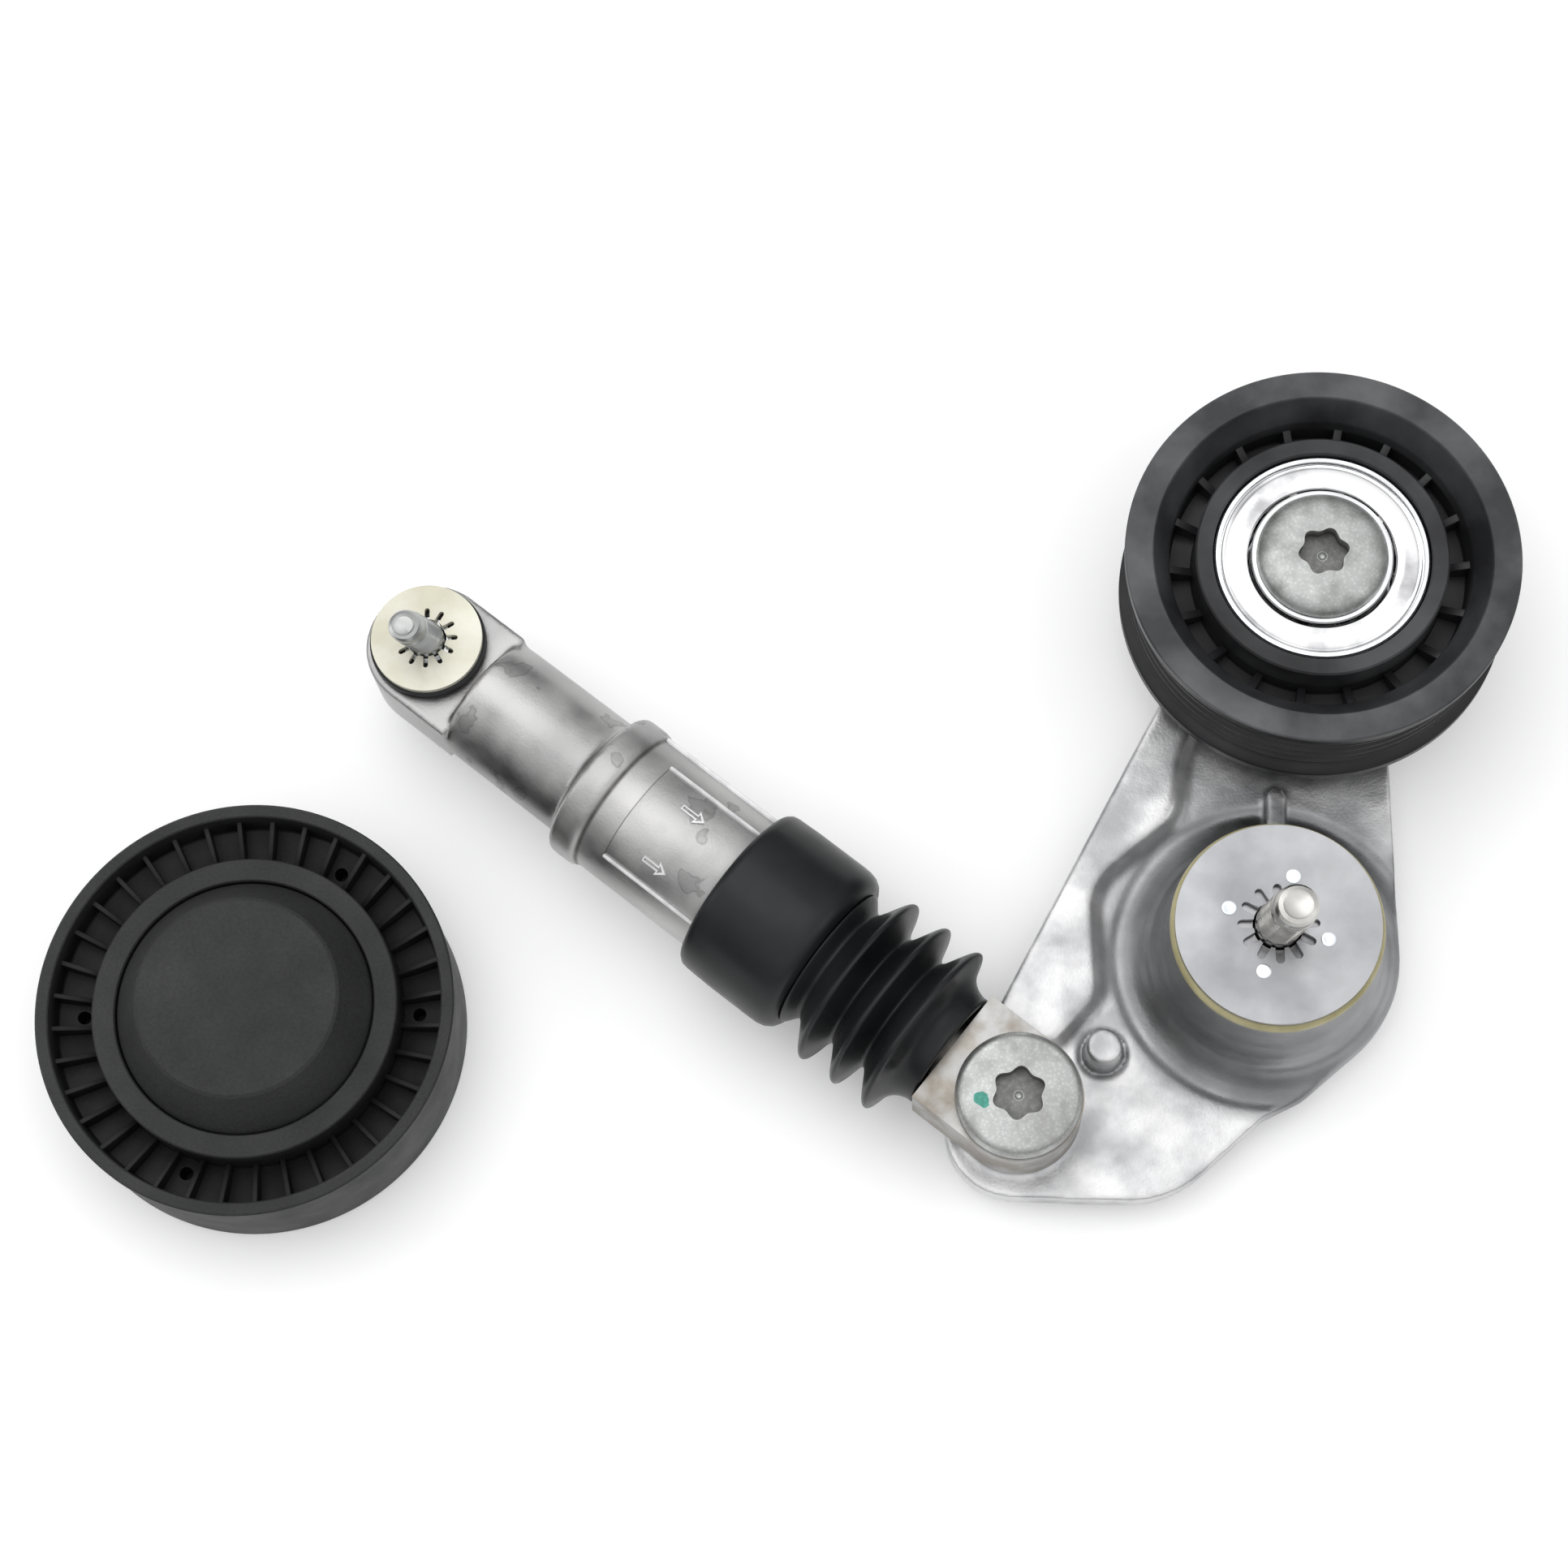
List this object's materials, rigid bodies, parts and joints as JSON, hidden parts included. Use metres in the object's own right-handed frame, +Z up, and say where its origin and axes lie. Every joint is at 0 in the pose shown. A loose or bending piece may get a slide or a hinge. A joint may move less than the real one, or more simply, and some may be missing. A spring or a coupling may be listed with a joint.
{
  "type": "belt tensioner with strut and idler pulley",
  "caption": "Accessory-drive belt tensioner: cast arm with a ribbed pulley, pivot bush and spring-damper strut with a rubber boot, beside its loose smooth idler pulley.",
  "frame": {"origin": "on the ground, under the middle of the box around the whole set as it lies", "axes": "+Z up and along every bolt, bearing and pulley axis; +X along the longest side, from the loose idler towards the arm; the strut lies in the X-Y plane"},
  "size_m": [0.3252, 0.1828, 0.0575],
  "materials": {
    "cast_aluminium": "as cast, satin",
    "washer_aluminium": "flat, lightly scratched",
    "bright_steel": "ground",
    "polished_shield": "polished",
    "zinc_flake": "zinc flake coating, fine mottled grey",
    "pale_zinc": "pale yellowish zinc",
    "spring_steel": "dark, oiled",
    "pulley_plastic": "satin dark grey glass-filled nylon",
    "idler_plastic": "matte black glass-filled nylon",
    "cream_nylon": "natural nylon",
    "black_rubber": "satin moulded rubber",
    "seal_rubber": "smooth seal rubber"
  },
  "bodies": {
    "arm": {"arm_casting": "cast_aluminium", "pivot_bushing": "cream_nylon", "pulley_bolt": "zinc_flake", "pulley_spacer": "zinc_flake", "tension_bearing_inner": "bright_steel", "eye_bolt": "zinc_flake"},
    "tension_pulley": {"ribbed_pulley": "pulley_plastic", "tension_bearing_outer": "bright_steel", "tension_shield_upper": "polished_shield", "tension_shield_lower": "polished_shield"},
    "tension_cage": {"tension_bearing_cage": "bright_steel"},
    "pivot_hardware": {"pivot_bolt": "zinc_flake", "pivot_sleeve": "bright_steel", "pivot_washer": "washer_aluminium"},
    "strut_rod": {"lower_eye_block": "cast_aluminium", "eye_bush": "bright_steel", "piston_rod": "bright_steel", "spring_seat": "zinc_flake", "strut_spring": "spring_steel", "boot_bellows": "black_rubber"},
    "strut_cylinder": {"cylinder_housing": "cast_aluminium", "pressure_tube": "bright_steel", "rod_guide": "seal_rubber", "boot_cuff": "black_rubber", "upper_eye_bush": "seal_rubber", "upper_eye_seal": "seal_rubber"},
    "top_hardware": {"top_bolt": "zinc_flake", "top_sleeve": "bright_steel", "top_washer": "pale_zinc"},
    "idler_core": {"idler_sleeve": "bright_steel", "idler_bearing_inner": "bright_steel"},
    "idler_wheel": {"idler_rim": "idler_plastic", "idler_dust_cap": "idler_plastic", "idler_bearing_outer": "bright_steel", "idler_shield_upper": "seal_rubber", "idler_shield_lower": "seal_rubber"},
    "idler_cage": {"idler_bearing_cage": "bright_steel"}
  },
  "joints": [
    {"name": "pulley_spin", "type": "hinge", "parent": "arm", "child": "tension_pulley", "pos_m": [0.11955, 0.0484, 0.039], "axis": [0, 0, 1], "continuous": true},
    {"name": "tension_cage_spin", "type": "hinge", "parent": "arm", "child": "tension_cage", "pos_m": [0.11955, 0.0484, 0.039], "axis": [0, 0, 1], "continuous": true},
    {"name": "pivot_turn", "type": "hinge", "parent": "arm", "child": "pivot_hardware", "pos_m": [0.10715, -0.0328, 0.02], "axis": [0, 0, 1], "continuous": true},
    {"name": "strut_swing", "type": "hinge", "parent": "arm", "child": "strut_rod", "pos_m": [0.05145, -0.0675, 0.022], "axis": [0, 0, 1], "range_deg": [-8, 8]},
    {"name": "strut_stroke", "type": "slide", "parent": "strut_rod", "child": "strut_cylinder", "axis": [0.7804, -0.6252, 0], "range_m": [0, 0.014], "stiffness_N_per_m": 9000, "deforming": ["strut_spring", "boot_bellows"]},
    {"name": "top_turn", "type": "hinge", "parent": "strut_cylinder", "child": "top_hardware", "pos_m": [-0.07787, 0.0361, 0.022], "axis": [0, 0, 1], "continuous": true},
    {"name": "idler_lift", "type": "slide", "parent": "arm", "child": "idler_core", "axis": [0, 0, 1], "range_m": [0, 0.06]},
    {"name": "idler_spin", "type": "hinge", "parent": "idler_core", "child": "idler_wheel", "pos_m": [-0.11655, -0.0454, 0.012], "axis": [0, 0, 1], "continuous": true},
    {"name": "idler_cage_spin", "type": "hinge", "parent": "idler_core", "child": "idler_cage", "pos_m": [-0.11655, -0.0454, 0.012], "axis": [0, 0, 1], "continuous": true}
  ],
  "couplings": [
    {"joint": "tension_cage_spin", "follows": "pulley_spin", "ratio": 0.585},
    {"joint": "idler_cage_spin", "follows": "idler_spin", "ratio": 0.605}
  ]
}
